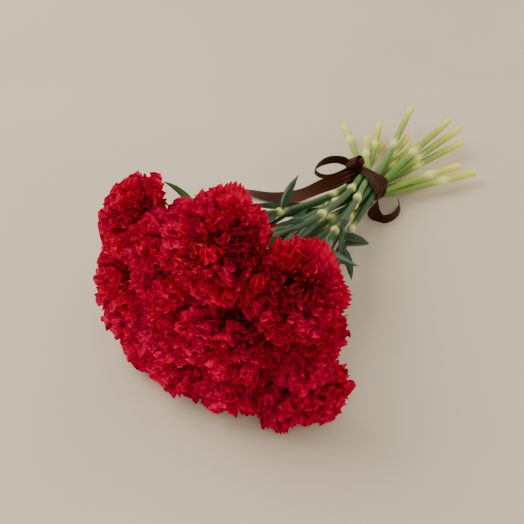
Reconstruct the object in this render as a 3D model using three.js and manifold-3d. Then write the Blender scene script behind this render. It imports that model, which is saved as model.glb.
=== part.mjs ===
// A bunch of fourteen red double carnations, tied round the stems with a brown satin ribbon and
// lying on its side. The flower heads point to -Y and the cut stem ends to +Y.
import * as THREE from 'three';
import { mergeVertices } from 'three/addons/utils/BufferGeometryUtils.js';
import Module from 'manifold-3d';

const wasm = await Module();
wasm.setup();

// Driving dimensions, in millimetres.
const PETAL_REACH = 51; // calyx rim to petal margin along the petal
const PETAL_WIDTH = 33; // across the blade of an outer petal
const PETAL_THICK = 0.8;
const PETAL_TUCK = 20; // calyx rim to the middle of the flower
const CELL_LIFT = 10; // from that middle to the point a flower's cell is measured from
const PETAL_WAVE = [2.2, 2]; // least lift of a petal's margin, and what a draw adds to it
const PETAL_CUP = 0.22; // rise of a petal's sides, as a share of its half width
const CLEARANCE = 0.35; // between two pieces that touch
const PRESS_DEPTH = 9; // petals give way within this distance of a neighbour
const TABLE_PRESS = 3; // and within this distance of the table
const PRESS_RISE = 0.5; // what is pushed aside by a neighbour rises this share of the push
const CORE_RADIUS = 12; // folded inner petals, drawn as one body that the others stand out of
const CORE_HEIGHT = 26;
const STEM_RADIUS = 2.8;
const NODE_RADIUS = 4; // the swollen joints of the stem
const STEM_SIDES = 6;
const RING_STEP = 34; // along a stem, between the rings of points that shape it
const TIE_RINGS = [-23, -9, 0, 9, 23]; // rings on each side of the tie, where the stems bend most
const JOINTS = [50, 136]; // from the tie toward the heads
const JOINT_STAGGER = 9; // so that the joints of neighbouring stems don't meet
const JOINT_LENGTH = 8;
const CALYX_RADIUS = 7;
const CALYX_LENGTH = 27;
const STEM_SPACING = 6.9; // least distance between two centre lines
const STEP = 22; // between the points that set a centre line
const TIE_SPACING = 6.9; // centre to centre of the stems where they are tied
const TIE_POINT = new THREE.Vector3(20, 105, 28);
const FAN_POINT = new THREE.Vector3(29, -12, 58); // the heads face away from this point
const SPIRAL = THREE.MathUtils.degToRad(55); // turn of the stem pattern on each side of the tie
const TABLE_GAP = 0.5; // under the lowest stem while the petals carry the bunch
const TAIL_SPREAD = 0.055; // widening of the tails for each millimetre behind the tie
const TAIL_LIFT = 1.2; // their spread upward, which the table leaves small
const TAIL_YAW = THREE.MathUtils.degToRad(-3);
const RIBBON_WIDTH = 15;
const RIBBON_THICK = 0.8; // two soft layers of satin
const WRAP_SIDES = 14;
const END_TURN = THREE.MathUtils.degToRad(-28); // where the right end leaves the wrap
const WRAP_EASE = 1.1; // between the outermost stems and the ribbon
const KNOT_SIZE = [8.5, 7, 5]; // half sizes: along the wrap, along the stems, outward
const KNOT_TURN = THREE.MathUtils.degToRad(128); // round the stems, from +X toward the top
const LEAF_WIDTH = 8;
const LEAF_THICK = 0.8;

// Middle of each flower head, its size, the length of its stem behind the tie, and its leaves as
// [distance below the calyx, turn round the stem, length, lean at the foot, lean at the tip].
const FLOWERS = [
  { at: [39, -178, 176], size: 1, tail: 86, leaves: [[66, -80, 40, 25, 45]] },
  { at: [89, -166, 152], size: 0.9, tail: 74, leaves: [[70, 0, 46, 30, 80], [128, 60, 44, 20, 50]] },
  { at: [90, -157, 96], size: 0.93, tail: 102, leaves: [[120, 25, 46, 60, 45], [84, 150, 38, 20, 40]] },
  { at: [91, -155, 36], size: 1.02, tail: 134, leaves: [[120, -55, 32, 70, 50], [120, 35, 36, 80, 60]] },
  { at: [44, -168, 34], size: 1, tail: 84, leaves: [[70, 60, 40, 25, 60]] },
  { at: [53, -182, 106], size: 1.02, tail: 138, leaves: [[90, 80, 40, 25, 40]] },
  { at: [-8, -166, 138], size: 1.02, tail: 110, leaves: [[10, 160, 38, 70, 105], [78, 200, 46, 25, 60]] },
  { at: [-5, -164, 82], size: 1.03, tail: 136, leaves: [[90, 170, 44, 25, 60]] },
  { at: [-58, -144, 137], size: 0.96, tail: 96, leaves: [[104, 80, 42, 60, 120], [84, 210, 46, 25, 60]] },
  { at: [-63, -156, 84], size: 0.97, tail: 106, leaves: [[60, 190, 44, 30, 60]] },
  { at: [-56, -154, 34], size: 1, tail: 94, leaves: [[70, 110, 40, 25, 60]] },
  { at: [-8, -170, 32], size: 0.98, tail: 128, leaves: [[70, 90, 36, 25, 40]] },
  { at: [-95, -106, 88], size: 0.9, tail: 88, leaves: [[50, 170, 50, 30, 80]] },
  { at: [-89, -108, 33], size: 0.93, tail: 74, leaves: [[60, 180, 44, 30, 60]] },
];

const ORIGIN = new THREE.Vector3(0.97, 14.68, 0.7); // under the middle of the bunch, on the table

const RED = new THREE.MeshStandardMaterial({ color: 0xc00020, roughness: 0.62, metalness: 0 });
const GREEN = new THREE.MeshStandardMaterial({ color: 0x4f7a4a, roughness: 0.5, metalness: 0 });
const BROWN = new THREE.MeshStandardMaterial({ color: 0x4a2818, roughness: 0.35, metalness: 0 });

const UP = new THREE.Vector3(0, 0, 1);

// Repeatable draws between 0 and 1 for one flower.
function draws(seed) {
  let state = seed;
  return () => {
    state = (state * 1103515245 + 12345) % 2147483648;
    return state / 2147483648;
  };
}

// A solid from a list of points and faces.
function solidOf(points, faces) {
  const geometry = new THREE.BufferGeometry();
  geometry.setAttribute('position', new THREE.Float32BufferAttribute(points.flatMap((p) => [p.x, p.y, p.z]), 3));
  geometry.setIndex(faces.flat());
  const merged = mergeVertices(geometry, 1e-4);
  return new wasm.Manifold(new wasm.Mesh({
    numProp: 3,
    vertProperties: new Float32Array(merged.attributes.position.array),
    triVerts: new Uint32Array(merged.index.array),
  }));
}

// The outer body of a joined solid, without small pockets closed in between its blades.
function geometryOf(solid) {
  const bodies = solid.decompose().sort((a, b) => b.volume() - a.volume());
  const mesh = bodies[0].getMesh();
  const geometry = new THREE.BufferGeometry();
  geometry.setAttribute('position', new THREE.BufferAttribute(new Float32Array(mesh.vertProperties), 3));
  geometry.setIndex(new THREE.BufferAttribute(new Uint32Array(mesh.triVerts), 1));
  return geometry;
}

// A thin blade: its middle surface as points and faces, given its thickness on both sides alike.
function blade(points, faces, rim, thick) {
  const normals = points.map(() => new THREE.Vector3());
  for (const [a, b, c] of faces) {
    const n = points[b].clone().sub(points[a]).cross(points[c].clone().sub(points[a]));
    for (const k of [a, b, c]) normals[k].add(n);
  }
  normals.forEach((n) => n.normalize().multiplyScalar(thick / 2));
  const count = points.length;
  const both = [...points.map((p, k) => p.clone().add(normals[k])), ...points.map((p, k) => p.clone().sub(normals[k]))];
  const shell = [...faces, ...faces.map(([a, b, c]) => [a + count, c + count, b + count])];
  rim.forEach((a, k) => {
    const b = rim[(k + 1) % rim.length];
    shell.push([a, a + count, b + count], [a, b + count, b]);
  });
  return solidOf(both, shell);
}

// A round rod of changing radius through the given points.
function rod(path, radii, sides) {
  const points = [];
  const faces = [];
  path.forEach((p, k) => {
    const along = path[Math.min(k + 1, path.length - 1)].clone().sub(path[Math.max(k - 1, 0)]).normalize();
    const side = UP.clone().cross(along).normalize();
    const over = along.clone().cross(side);
    for (let j = 0; j < sides; j += 1) {
      const turn = (j / sides) * 2 * Math.PI;
      points.push(p.clone().addScaledVector(side, radii[k] * Math.cos(turn)).addScaledVector(over, radii[k] * Math.sin(turn)));
    }
  });
  for (let k = 0; k + 1 < path.length; k += 1) {
    for (let j = 0; j < sides; j += 1) {
      const a = k * sides + j;
      const b = k * sides + ((j + 1) % sides);
      faces.push([a, b, b + sides], [a, b + sides, a + sides]);
    }
  }
  for (let j = 1; j + 1 < sides; j += 1) {
    const last = (path.length - 1) * sides;
    faces.push([0, j + 1, j], [last, last + j, last + j + 1]);
  }
  return solidOf(points, faces);
}

// Each head's axis, the foot of its petals and the middle that its cell is measured from.
const heads = FLOWERS.map(({ at }) => {
  const middle = new THREE.Vector3(...at);
  const axis = middle.clone().sub(FAN_POINT).normalize();
  return {
    axis,
    foot: middle.clone().addScaledVector(axis, -PETAL_TUCK),
    calyxFoot: middle.clone().addScaledVector(axis, -PETAL_TUCK - CALYX_LENGTH),
    seed: middle.clone().addScaledVector(axis, CELL_LIFT),
  };
});

// The stems cross at the tie as in a hand-tied bunch: seen from the heads, their pattern turns.
const bundleAxis = heads.reduce((sum, h) => sum.add(h.calyxFoot), new THREE.Vector3())
  .divideScalar(heads.length).sub(TIE_POINT).normalize();
const bundleSide = UP.clone().cross(bundleAxis).normalize();
const bundleOver = bundleAxis.clone().cross(bundleSide);

// Places in the tied section: the heads' pattern drawn together until the stems lie side by side.
const tied = heads.map(({ calyxFoot }) => {
  const p = calyxFoot.clone().sub(TIE_POINT);
  return new THREE.Vector2(p.dot(bundleSide), p.dot(bundleOver)).multiplyScalar(0.1).rotateAround(new THREE.Vector2(), SPIRAL);
});
for (let round = 0; round < 400; round += 1) {
  const pull = round < 300 ? 0.02 : 0;
  tied.forEach((p) => p.multiplyScalar(1 - pull));
  for (let i = 0; i < tied.length; i += 1) {
    for (let j = 0; j < i; j += 1) {
      const apart = tied[i].clone().sub(tied[j]);
      const lack = TIE_SPACING - apart.length();
      if (lack > 0) {
        apart.setLength(lack / 2);
        tied[i].add(apart);
        tied[j].sub(apart);
      }
    }
  }
}

// Centre lines of the stems as points in equal steps along the bundle, measured from the tie. They
// start straight and are then smoothed, and pushed apart where two come too close.
const lowest = Math.min(...tied.map((p) => p.clone().rotateAround(new THREE.Vector2(), SPIRAL).y));
const lines = heads.map(({ calyxFoot, axis }, k) => {
  const knot = TIE_POINT.clone().addScaledVector(bundleSide, tied[k].x).addScaledVector(bundleOver, tied[k].y);
  const turned = tied[k].clone().rotateAround(new THREE.Vector2(), SPIRAL);
  const tail = FLOWERS[k].tail;
  const end = new THREE.Vector3(turned.x * (1 + TAIL_SPREAD * tail), tail, 0)
    .applyAxisAngle(UP, TAIL_YAW).add(TIE_POINT);
  end.z = STEM_RADIUS + TABLE_GAP + (turned.y - lowest) * TAIL_LIFT;
  const ahead = calyxFoot.clone().sub(knot);
  const behind = end.clone().sub(knot);
  const through = ahead.clone().normalize().sub(behind.clone().normalize()).normalize();
  const curve = new THREE.CurvePath();
  curve.add(new THREE.CubicBezierCurve3(
    end, end.clone().addScaledVector(behind, -1 / 3), knot.clone().addScaledVector(through, -behind.length() / 3), knot));
  curve.add(new THREE.CubicBezierCurve3(
    knot, knot.clone().addScaledVector(through, ahead.length() / 3),
    calyxFoot.clone().addScaledVector(axis, -ahead.length() / 4), calyxFoot));
  // Points where the curve passes the steps; the two ends stay where they are.
  const fine = [0, 1].flatMap((c) => curve.curves[c].getPoints(60));
  const along = (p) => p.clone().sub(TIE_POINT).dot(bundleAxis);
  const line = [{ step: null, at: end }];
  for (let f = 0; f + 1 < fine.length; f += 1) {
    const [a, b] = [along(fine[f]), along(fine[f + 1])];
    const step = Math.ceil(a / STEP);
    if (step * STEP < b && step * STEP - along(end) > STEP / 2 && along(calyxFoot) - step * STEP > STEP / 2) {
      line.push({ step, at: fine[f].clone().lerp(fine[f + 1], (step * STEP - a) / (b - a)) });
    }
  }
  line.push({ step: null, at: calyxFoot });
  return line;
});
for (let round = 0; round < 60; round += 1) {
  for (let i = 0; i < lines.length; i += 1) {
    for (let j = 0; j < i; j += 1) {
      for (const a of lines[i]) {
        const b = a.step ? lines[j].find(({ step }) => step === a.step) : undefined;
        if (b) {
          const apart = a.at.clone().sub(b.at);
          const lack = STEM_SPACING - apart.length();
          if (lack > 0) {
            apart.setLength(lack / 2);
            a.at.add(apart);
            b.at.sub(apart);
          }
        }
      }
    }
  }
  for (const line of lines) {
    for (let k = 1; k + 1 < line.length; k += 1) {
      if (line[k].step === 0) continue; // the ribbon holds them here
      const middle = line[k - 1].at.clone().add(line[k + 1].at).multiplyScalar(0.5);
      const off = middle.sub(line[k].at);
      off.addScaledVector(bundleAxis, -off.dot(bundleAxis));
      if (round < 30) line[k].at.addScaledVector(off, 0.15);
      line[k].at.z = Math.max(line[k].at.z, NODE_RADIUS + TABLE_GAP);
    }
  }
}
const curves = lines.map((line) => new THREE.CatmullRomCurve3(line.map(({ at }) => at), false, 'centripetal'));

// Where a stem passes the cross-section at a distance from the tie, toward the heads.
function crossing(curve, distance) {
  let best = null;
  for (let share = 0.1; share < 0.7; share += 0.0025) {
    const p = curve.getPointAt(share);
    const off = Math.abs(p.clone().sub(TIE_POINT).dot(bundleAxis) - distance);
    if (best === null || off < best.off) best = { off, p, share };
  }
  return best;
}

// The plane that keeps a head's petals off the stem and calyx of flower k, on the side of point me.
function besideStem(me, k) {
  const { foot, calyxFoot, axis } = heads[k];
  const along = Math.min(Math.max(me.clone().sub(calyxFoot).dot(axis), 0), CALYX_LENGTH);
  let nearest = calyxFoot.clone().addScaledVector(axis, along);
  let keep = CALYX_RADIUS;
  for (let s = 0; s <= 40; s += 1) {
    const p = curves[k].getPoint(0.4 + 0.6 * (s / 40));
    if (p.distanceTo(me) < nearest.distanceTo(me)) {
      nearest = p;
      keep = NODE_RADIUS;
    }
  }
  const normal = me.clone().sub(nearest).normalize();
  return { normal, at: nearest.addScaledVector(normal, keep + CLEARANCE / 2) };
}

// The cell of a head: half-way planes to its neighbours, and the table.
function cellOf(index) {
  const me = heads[index].seed;
  const planes = [{ normal: UP.clone(), at: new THREE.Vector3(), depth: TABLE_PRESS }];
  heads.forEach(({ seed }, k) => {
    if (k !== index) {
      const at = me.clone().add(seed).multiplyScalar(0.5);
      planes.push({ normal: me.clone().sub(seed).normalize(), at, rise: PRESS_RISE });
      planes.push(besideStem(me, k));
    }
  });
  return planes;
}

// Moves a point back into the cell, softly near a plane, as petals crumple against neighbours and
// rise between them along the head's axis.
function pressed(point, cell, axis, inset) {
  const p = point.clone();
  for (let pass = 0; pass < 5; pass += 1) {
    for (const { normal, at, depth = PRESS_DEPTH, rise = 0 } of cell) {
      const d = p.clone().sub(at).dot(normal) - inset;
      if (pass === 0 && d < depth) {
        const push = depth * Math.exp((d - depth) / depth) - d;
        p.addScaledVector(normal, push).addScaledVector(axis, rise * push);
      } else if (d < 0.02) {
        p.addScaledVector(normal, 0.02 - d);
      }
    }
  }
  return p;
}

// One flower head: a core of folded petals and four whorls of toothed, waved blades, outermost first.
// Leans are at the claw and at the tip; reach and width are shares of the petal's, claw of its length.
const WHORLS = [
  { count: 5, lean: [40, 106], reach: 0.84, width: 1.12, claw: 0.3 },
  { count: 5, lean: [30, 78], reach: 0.92, width: 1.0, claw: 0.32 },
  { count: 5, lean: [14, 52], reach: 0.97, width: 0.86, claw: 0.34 },
  { count: 3, lean: [4, 20], reach: 0.95, width: 0.72, claw: 0.36 },
];
const CORE_PROFILE = [[0.24, 0.01], [0.3, 0.1], [0.75, 0.3], [1, 0.55], [0.85, 0.82], [0.4, 0.98]];
const CORE_SIDES = 5;

function bloom(index) {
  const rand = draws(7919 * (index + 1));
  const { axis, foot } = heads[index];
  const cell = cellOf(index);
  const inset = PETAL_THICK / 2 + CLEARANCE / 2;
  const side = UP.clone().cross(axis).normalize();
  const over = axis.clone().cross(side);
  const place = (r, turn, h) => foot.clone()
    .addScaledVector(side, r * Math.cos(turn))
    .addScaledVector(over, r * Math.sin(turn))
    .addScaledVector(axis, h);

  // The core.
  const around = CORE_SIDES;
  const points = [];
  const faces = [];
  CORE_PROFILE.forEach(([r, h], k) => {
    for (let j = 0; j < around; j += 1) {
      const fold = k > 1 ? 0.86 + 0.28 * rand() : 1;
      points.push(pressed(place(r * CORE_RADIUS * fold, ((j + 0.5 * (k % 2)) / around) * 2 * Math.PI, h * CORE_HEIGHT), cell, axis, inset));
    }
  });
  for (let k = 0; k + 1 < CORE_PROFILE.length; k += 1) {
    for (let j = 0; j < around; j += 1) {
      const a = k * around + j;
      const b = k * around + ((j + 1) % around);
      faces.push([a, b, a + around], [b, b + around, a + around]);
    }
  }
  const last = (CORE_PROFILE.length - 1) * around;
  for (let j = 1; j + 1 < around; j += 1) faces.push([0, j + 1, j], [last, last + j, last + j + 1]);
  let head = solidOf(points, faces);

  // The petals.
  const first = rand() * 2 * Math.PI;
  WHORLS.forEach(({ count, lean, reach, width, claw }, whorl) => {
    for (let k = 0; k < count; k += 1) {
      const turn = first + whorl * 0.5 + ((k + 0.3 * (rand() - 0.5)) / count) * 2 * Math.PI;
      const length = PETAL_REACH * FLOWERS[index].size * reach * (0.95 + 0.1 * rand());
      const half = (PETAL_WIDTH / 2) * FLOWERS[index].size * width * (0.92 + 0.16 * rand());
      const wave = PETAL_WAVE[0] + PETAL_WAVE[1] * rand();
      const from = THREE.MathUtils.degToRad(lean[0]);
      const to = THREE.MathUtils.degToRad(lean[1] + 12 * (rand() - 0.5));
      const at = (l, t, lift) => {
        let r = 2;
        let h = 1;
        const steps = 6;
        let angle = from;
        for (let s = 0; s < steps; s += 1) {
          angle = from + (to - from) * ((s + 0.5) / steps) * l;
          r += (length * l / steps) * Math.sin(angle);
          h += (length * l / steps) * Math.cos(angle);
        }
        const cup = lift + PETAL_CUP * half * t * t;
        const p = place(r - cup * Math.cos(angle), turn, h + cup * Math.sin(angle));
        const across = side.clone().multiplyScalar(-Math.sin(turn)).addScaledVector(over, Math.cos(turn));
        return p.addScaledVector(across, half * t);
      };
      const sign = rand() < 0.5 ? -1 : 1;
      const outline = [
        at(claw, 0.2, 0), at(0.78, 1, wave * sign), at(0.97, 0.55, -wave * sign),
        at(1.03, 0, wave * sign), at(0.95, -0.6, -wave * sign), at(0.74, -1, wave * sign), at(claw, -0.2, 0),
      ];
      const mid = outline.map((p) => pressed(p, cell, axis, inset));
      mid.push(pressed(at(0.72, 0, 0), cell, axis, inset));
      const fan = outline.map((_, j) => [j, (j + 1) % outline.length, outline.length]);
      head = head.add(blade(mid, fan, outline.map((_, j) => j), PETAL_THICK));
    }
  });
  return head;
}

// One stem with its swollen joints and calyx; the profile gives shares of the calyx's length and radius.
const CALYX_PROFILE = [[0.1, 0.5], [0.25, 0.8], [0.7, 0.95], [0.985, 1]];

function stem(index) {
  const { axis, foot, calyxFoot } = heads[index];
  const path = [];
  const radii = [];
  const add = (p, r) => { path.push(p); radii.push(r); };
  const total = curves[index].getLength();
  const tie = crossing(curves[index], 0).share * total;
  const tailJoint = (0.4 + 0.12 * (index % 2)) * FLOWERS[index].tail;
  const joints = [tailJoint, ...JOINTS.map((l) => tie + l + JOINT_STAGGER * (index % 4))].filter((l) => l < total - 20);
  const marks = TIE_RINGS.map((off) => [tie + off, STEM_RADIUS]);
  const taken = [...marks.map(([l]) => l), ...joints];
  for (let l = 0; l < total - 8; l += RING_STEP) {
    if (!taken.some((n) => Math.abs(n - l) < 15)) marks.push([l, STEM_RADIUS]);
  }
  const half = JOINT_LENGTH / 2;
  joints.forEach((l) => marks.push([l - half, STEM_RADIUS], [l, NODE_RADIUS], [l + half, STEM_RADIUS]));
  marks.sort((a, b) => a[0] - b[0]).forEach(([l, r]) => add(curves[index].getPointAt(l / total), r));
  add(curves[index].getPointAt(1 - 1.5 / total), STEM_RADIUS);
  CALYX_PROFILE.forEach(([t, r]) => add(calyxFoot.clone().addScaledVector(axis, t * CALYX_LENGTH), r * CALYX_RADIUS));
  let whole = rod(path, radii, STEM_SIDES);
  for (const row of FLOWERS[index].leaves) whole = whole.add(leaf(curves[index], total, row));
  return whole;
}

// A narrow folded leaf that starts in the stem and bends away from it.
function leaf(curve, total, [below, turn, length, footLean, tipLean]) {
  const share = 1 - below / total;
  const along = curve.getTangentAt(share);
  const side = UP.clone().cross(along).normalize();
  const over = along.clone().cross(side);
  const angle = THREE.MathUtils.degToRad(turn);
  const out = side.multiplyScalar(Math.cos(angle)).addScaledVector(over, Math.sin(angle));
  const across = along.clone().cross(out);
  const widths = [0.3, 0.85, 1, 0.7];
  const spine = [curve.getPointAt(share)];
  const mid = [];
  const faces = [];
  for (let s = 0; s <= widths.length; s += 1) {
    const lean = THREE.MathUtils.degToRad(footLean + ((tipLean - footLean) * s) / widths.length);
    const ahead = along.clone().multiplyScalar(Math.cos(lean)).addScaledVector(out, Math.sin(lean));
    const crest = out.clone().multiplyScalar(Math.cos(lean)).addScaledVector(along, -Math.sin(lean));
    const p = spine[s];
    if (s < widths.length) {
      const half = (LEAF_WIDTH / 2) * widths[s];
      for (const t of [-1, 0, 1]) mid.push(p.clone().addScaledVector(across, t * half).addScaledVector(crest, 0.3 * half * t * t));
      spine.push(p.clone().addScaledVector(ahead, length / widths.length));
    } else {
      mid.push(p);
    }
  }
  const last = 3 * widths.length;
  for (let a = 0; a + 3 < last; a += 3) {
    faces.push([a, a + 1, a + 4], [a, a + 4, a + 3], [a + 1, a + 2, a + 5], [a + 1, a + 5, a + 4]);
  }
  faces.push([last - 3, last - 2, last], [last - 2, last - 1, last]);
  const rim = [0, 1, 2];
  for (let a = 5; a < last; a += 3) rim.push(a);
  rim.push(last);
  for (let a = last - 3; a > 0; a -= 3) rim.push(a);
  return blade(mid, faces, rim, LEAF_THICK);
}

// The ribbon's turn round the stems: a band that follows the outermost stems in four rows.
const wrapRows = [-0.5, -0.17, 0.17, 0.5].map((row) => {
  const u = row * RIBBON_WIDTH;
  const stems = curves.map((curve) => crossing(curve, u));
  const middle = stems.reduce((sum, { p }) => sum.add(p), new THREE.Vector3()).divideScalar(stems.length);
  const reach = (turn) => {
    const out = bundleSide.clone().multiplyScalar(Math.cos(turn)).addScaledVector(bundleOver, Math.sin(turn));
    const far = Math.max(...stems.map(({ p, share }, k) => (
      p.clone().sub(middle).dot(out) + STEM_RADIUS / Math.abs(curves[k].getTangentAt(share).dot(bundleAxis)))));
    return { out, far: far + WRAP_EASE };
  };
  return { middle, reach };
});
function wrap() {
  const points = [];
  const faces = [];
  for (const layer of [0, RIBBON_THICK]) {
    for (const { middle, reach } of wrapRows) {
      for (let j = 0; j < WRAP_SIDES; j += 1) {
        const { out, far } = reach((j / WRAP_SIDES) * 2 * Math.PI);
        points.push(middle.clone().addScaledVector(out, far + layer));
      }
    }
  }
  const rows = wrapRows.length;
  const at = (layer, row, j) => (layer * rows + row) * WRAP_SIDES + (j % WRAP_SIDES);
  for (let j = 0; j < WRAP_SIDES; j += 1) {
    for (let row = 0; row + 1 < rows; row += 1) {
      const quad = (layer) => [at(layer, row, j), at(layer, row, j + 1), at(layer, row + 1, j + 1), at(layer, row + 1, j)];
      const [a, b, c, d] = quad(1);
      faces.push([a, b, c], [a, c, d]);
      const [e, f, g, h] = quad(0);
      faces.push([e, g, f], [e, h, g]);
    }
    const [a, b, c, d] = [at(0, 0, j), at(0, 0, j + 1), at(1, 0, j + 1), at(1, 0, j)];
    faces.push([a, b, c], [a, c, d]);
    const [e, f, g, h] = [at(0, rows - 1, j), at(0, rows - 1, j + 1), at(1, rows - 1, j + 1), at(1, rows - 1, j)];
    faces.push([e, g, f], [e, h, g]);
  }
  return solidOf(points, faces);
}

// The knot sits on the wrap: a small lump of folded ribbon.
const knotSeat = wrapRows[1].reach(KNOT_TURN);
const knotAt = wrapRows[1].middle.clone().lerp(wrapRows[2].middle, 0.5)
  .addScaledVector(knotSeat.out, knotSeat.far + RIBBON_THICK + KNOT_SIZE[2] + 2 * CLEARANCE);
function knot() {
  const sphere = new THREE.SphereGeometry(1, 8, 6);
  sphere.deleteAttribute('normal');
  sphere.deleteAttribute('uv');
  const ball = mergeVertices(sphere, 1e-4);
  const along = bundleAxis.clone();
  const out = knotSeat.out.clone();
  const side = along.clone().cross(out);
  const frame = new THREE.Matrix4().makeBasis(side, along, out).scale(new THREE.Vector3(...KNOT_SIZE)).setPosition(knotAt);
  ball.applyMatrix4(frame);
  const p = ball.attributes.position;
  const points = Array.from({ length: p.count }, (_, k) => new THREE.Vector3().fromBufferAttribute(p, k));
  const index = Array.from(ball.index.array);
  return solidOf(points, Array.from({ length: index.length / 3 }, (_, k) => index.slice(3 * k, 3 * k + 3)));
}

// A length of ribbon through the given points, each with the direction across it and its width.
function band(rows, steps) {
  const path = new THREE.CatmullRomCurve3(rows.map(({ at }) => new THREE.Vector3(...at)), false, 'centripetal');
  const across = new THREE.CatmullRomCurve3(rows.map(({ across: a }) => new THREE.Vector3(...a).normalize()), false, 'centripetal');
  const mid = [];
  const faces = [];
  for (let k = 0; k <= steps; k += 1) {
    const share = k / steps;
    const slot = share * (rows.length - 1);
    const low = Math.min(Math.floor(slot), rows.length - 2);
    const width = rows[low].width + (rows[low + 1].width - rows[low].width) * (slot - low);
    const p = path.getPoint(share);
    const w = across.getPoint(share).normalize();
    mid.push(p.clone().addScaledVector(w, -width / 2), p.clone().addScaledVector(w, width / 2));
    if (k < steps) faces.push([2 * k, 2 * k + 1, 2 * k + 3], [2 * k, 2 * k + 3, 2 * k + 2]);
  }
  const rim = [];
  for (let k = 0; k <= steps; k += 1) rim.push(2 * k + 1);
  for (let k = steps; k >= 0; k -= 1) rim.push(2 * k);
  return blade(mid, faces, [0, ...rim.slice(0, -1)], RIBBON_THICK);
}

// The loop and the left end, measured from the knot, and the right end, from where it leaves the wrap.
const LOOP = [
  { at: [-6, 0.7, 3.1], across: [0.2, 1, 0.1], width: 8 },
  { at: [-12, 3.5, 7], across: [0.2, 1, 0.1], width: 12 },
  { at: [-22, 0, 6], across: [0.3, 1, 0.1], width: 15 },
  { at: [-33, -10, -1], across: [0.5, 0.9, 0.1], width: 15 },
  { at: [-40, -18, -9], across: [0.6, 0.8, 0.1], width: 15 },
  { at: [-36, -18, -13.5], across: [0.6, 0.8, 0.1], width: 15 },
  { at: [-24, -9, -8], across: [0.4, 0.9, 0.1], width: 14 },
  { at: [-14, -3, -3], across: [0.3, 1, 0.1], width: 11 },
  { at: [-7.7, -0.9, 0], across: [0.2, 1, 0.1], width: 8 },
];
const LEFT_END = [
  { at: [-4.4, -8.3, -2.6], across: [0.6, 0.3, 0.8], width: 8 },
  { at: [-11, -17, -7], across: [0.6, 0.3, 0.8], width: 13 },
  { at: [-24, -26, -20], across: [0.5, 0.4, 0.9], width: 15 },
  { at: [-46, -36, -36], across: [0.3, 0.7, 0.6], width: 15 },
  { at: [-73, -42, -43.6], across: [0.1, 0.95, -0.2], width: 15 },
  { at: [-94, -47, -42.1], across: [0, 0.9, -0.42], width: 14 },
  { at: [-112, -53, -42.1], across: [0, 0.9, -0.42], width: 14 },
];
const RIGHT_END = [
  { at: [0.6, 0, 0], across: [0.3, 0.5, 0.8], width: 12 },
  { at: [2.5, -2, -5], across: [0.2, 0.3, 0.9], width: 13 },
  { at: [9, -4, -10.5], across: [0, 0.1, 1], width: 13 },
  { at: [17, -1, -12.2], across: [-0.2, 0.1, 1], width: 13 },
  { at: [22, 7, -12.2], across: [-0.3, 0, 1], width: 13 },
  { at: [22, 15, -11.2], across: [-0.3, 0, 1], width: 12 },
];

const group = new THREE.Group();
function piece(name, solid, material) {
  const mesh = new THREE.Mesh(geometryOf(solid), material);
  mesh.name = name;
  group.add(mesh);
}

FLOWERS.forEach((_, k) => {
  piece(`bloom_${String(k + 1).padStart(2, '0')}`, bloom(k), RED);
});
FLOWERS.forEach((_, k) => {
  piece(`stem_${String(k + 1).padStart(2, '0')}`, stem(k), GREEN);
});

const from = (start, rows) => rows.map(({ at, ...rest }) => ({ at: new THREE.Vector3(...at).add(start).toArray(), ...rest }));
const endSeat = wrapRows[1].reach(END_TURN);
const endAt = wrapRows[1].middle.clone().addScaledVector(endSeat.out, endSeat.far + RIBBON_THICK + RIBBON_THICK / 2 + CLEARANCE);
piece('ribbon_wrap', wrap(), BROWN);
piece('ribbon_knot', knot(), BROWN);
piece('ribbon_loop', band(from(knotAt, LOOP), 16), BROWN);
piece('ribbon_end_left', band(from(knotAt, LEFT_END), 12), BROWN);
piece('ribbon_end_right', band(from(endAt, RIGHT_END), 12), BROWN);

// The middle of the bunch's box is over the origin, and its lowest petals are on the table.
group.position.copy(ORIGIN).negate();

export default group;
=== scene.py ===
# A bunch of fourteen red double carnations, hand-tied with a brown satin ribbon and lying on its side.
# Lengths are in millimetres until a mesh is made. The heads point to -Y and the cut ends to +Y.
import math

import bpy
import numpy as np
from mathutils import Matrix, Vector


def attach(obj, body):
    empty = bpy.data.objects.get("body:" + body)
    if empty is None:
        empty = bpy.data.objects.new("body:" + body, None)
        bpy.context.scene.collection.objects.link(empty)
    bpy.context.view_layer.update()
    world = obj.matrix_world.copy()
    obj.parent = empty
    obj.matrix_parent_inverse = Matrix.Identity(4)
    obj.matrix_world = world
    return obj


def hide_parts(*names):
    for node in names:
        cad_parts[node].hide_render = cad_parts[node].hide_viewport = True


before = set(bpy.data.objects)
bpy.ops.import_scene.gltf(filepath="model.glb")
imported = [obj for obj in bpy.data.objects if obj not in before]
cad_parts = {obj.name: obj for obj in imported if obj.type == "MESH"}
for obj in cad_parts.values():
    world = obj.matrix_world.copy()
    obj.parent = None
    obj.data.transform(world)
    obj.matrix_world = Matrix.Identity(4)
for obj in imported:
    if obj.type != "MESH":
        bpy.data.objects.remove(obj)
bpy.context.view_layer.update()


# STEMS
# A carnation's stem is a slim waxy green rod with a swollen joint every hand's breadth. A florist lays
# fourteen across each other in a spiral, binds them where they cross and trims the ends unevenly.

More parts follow.
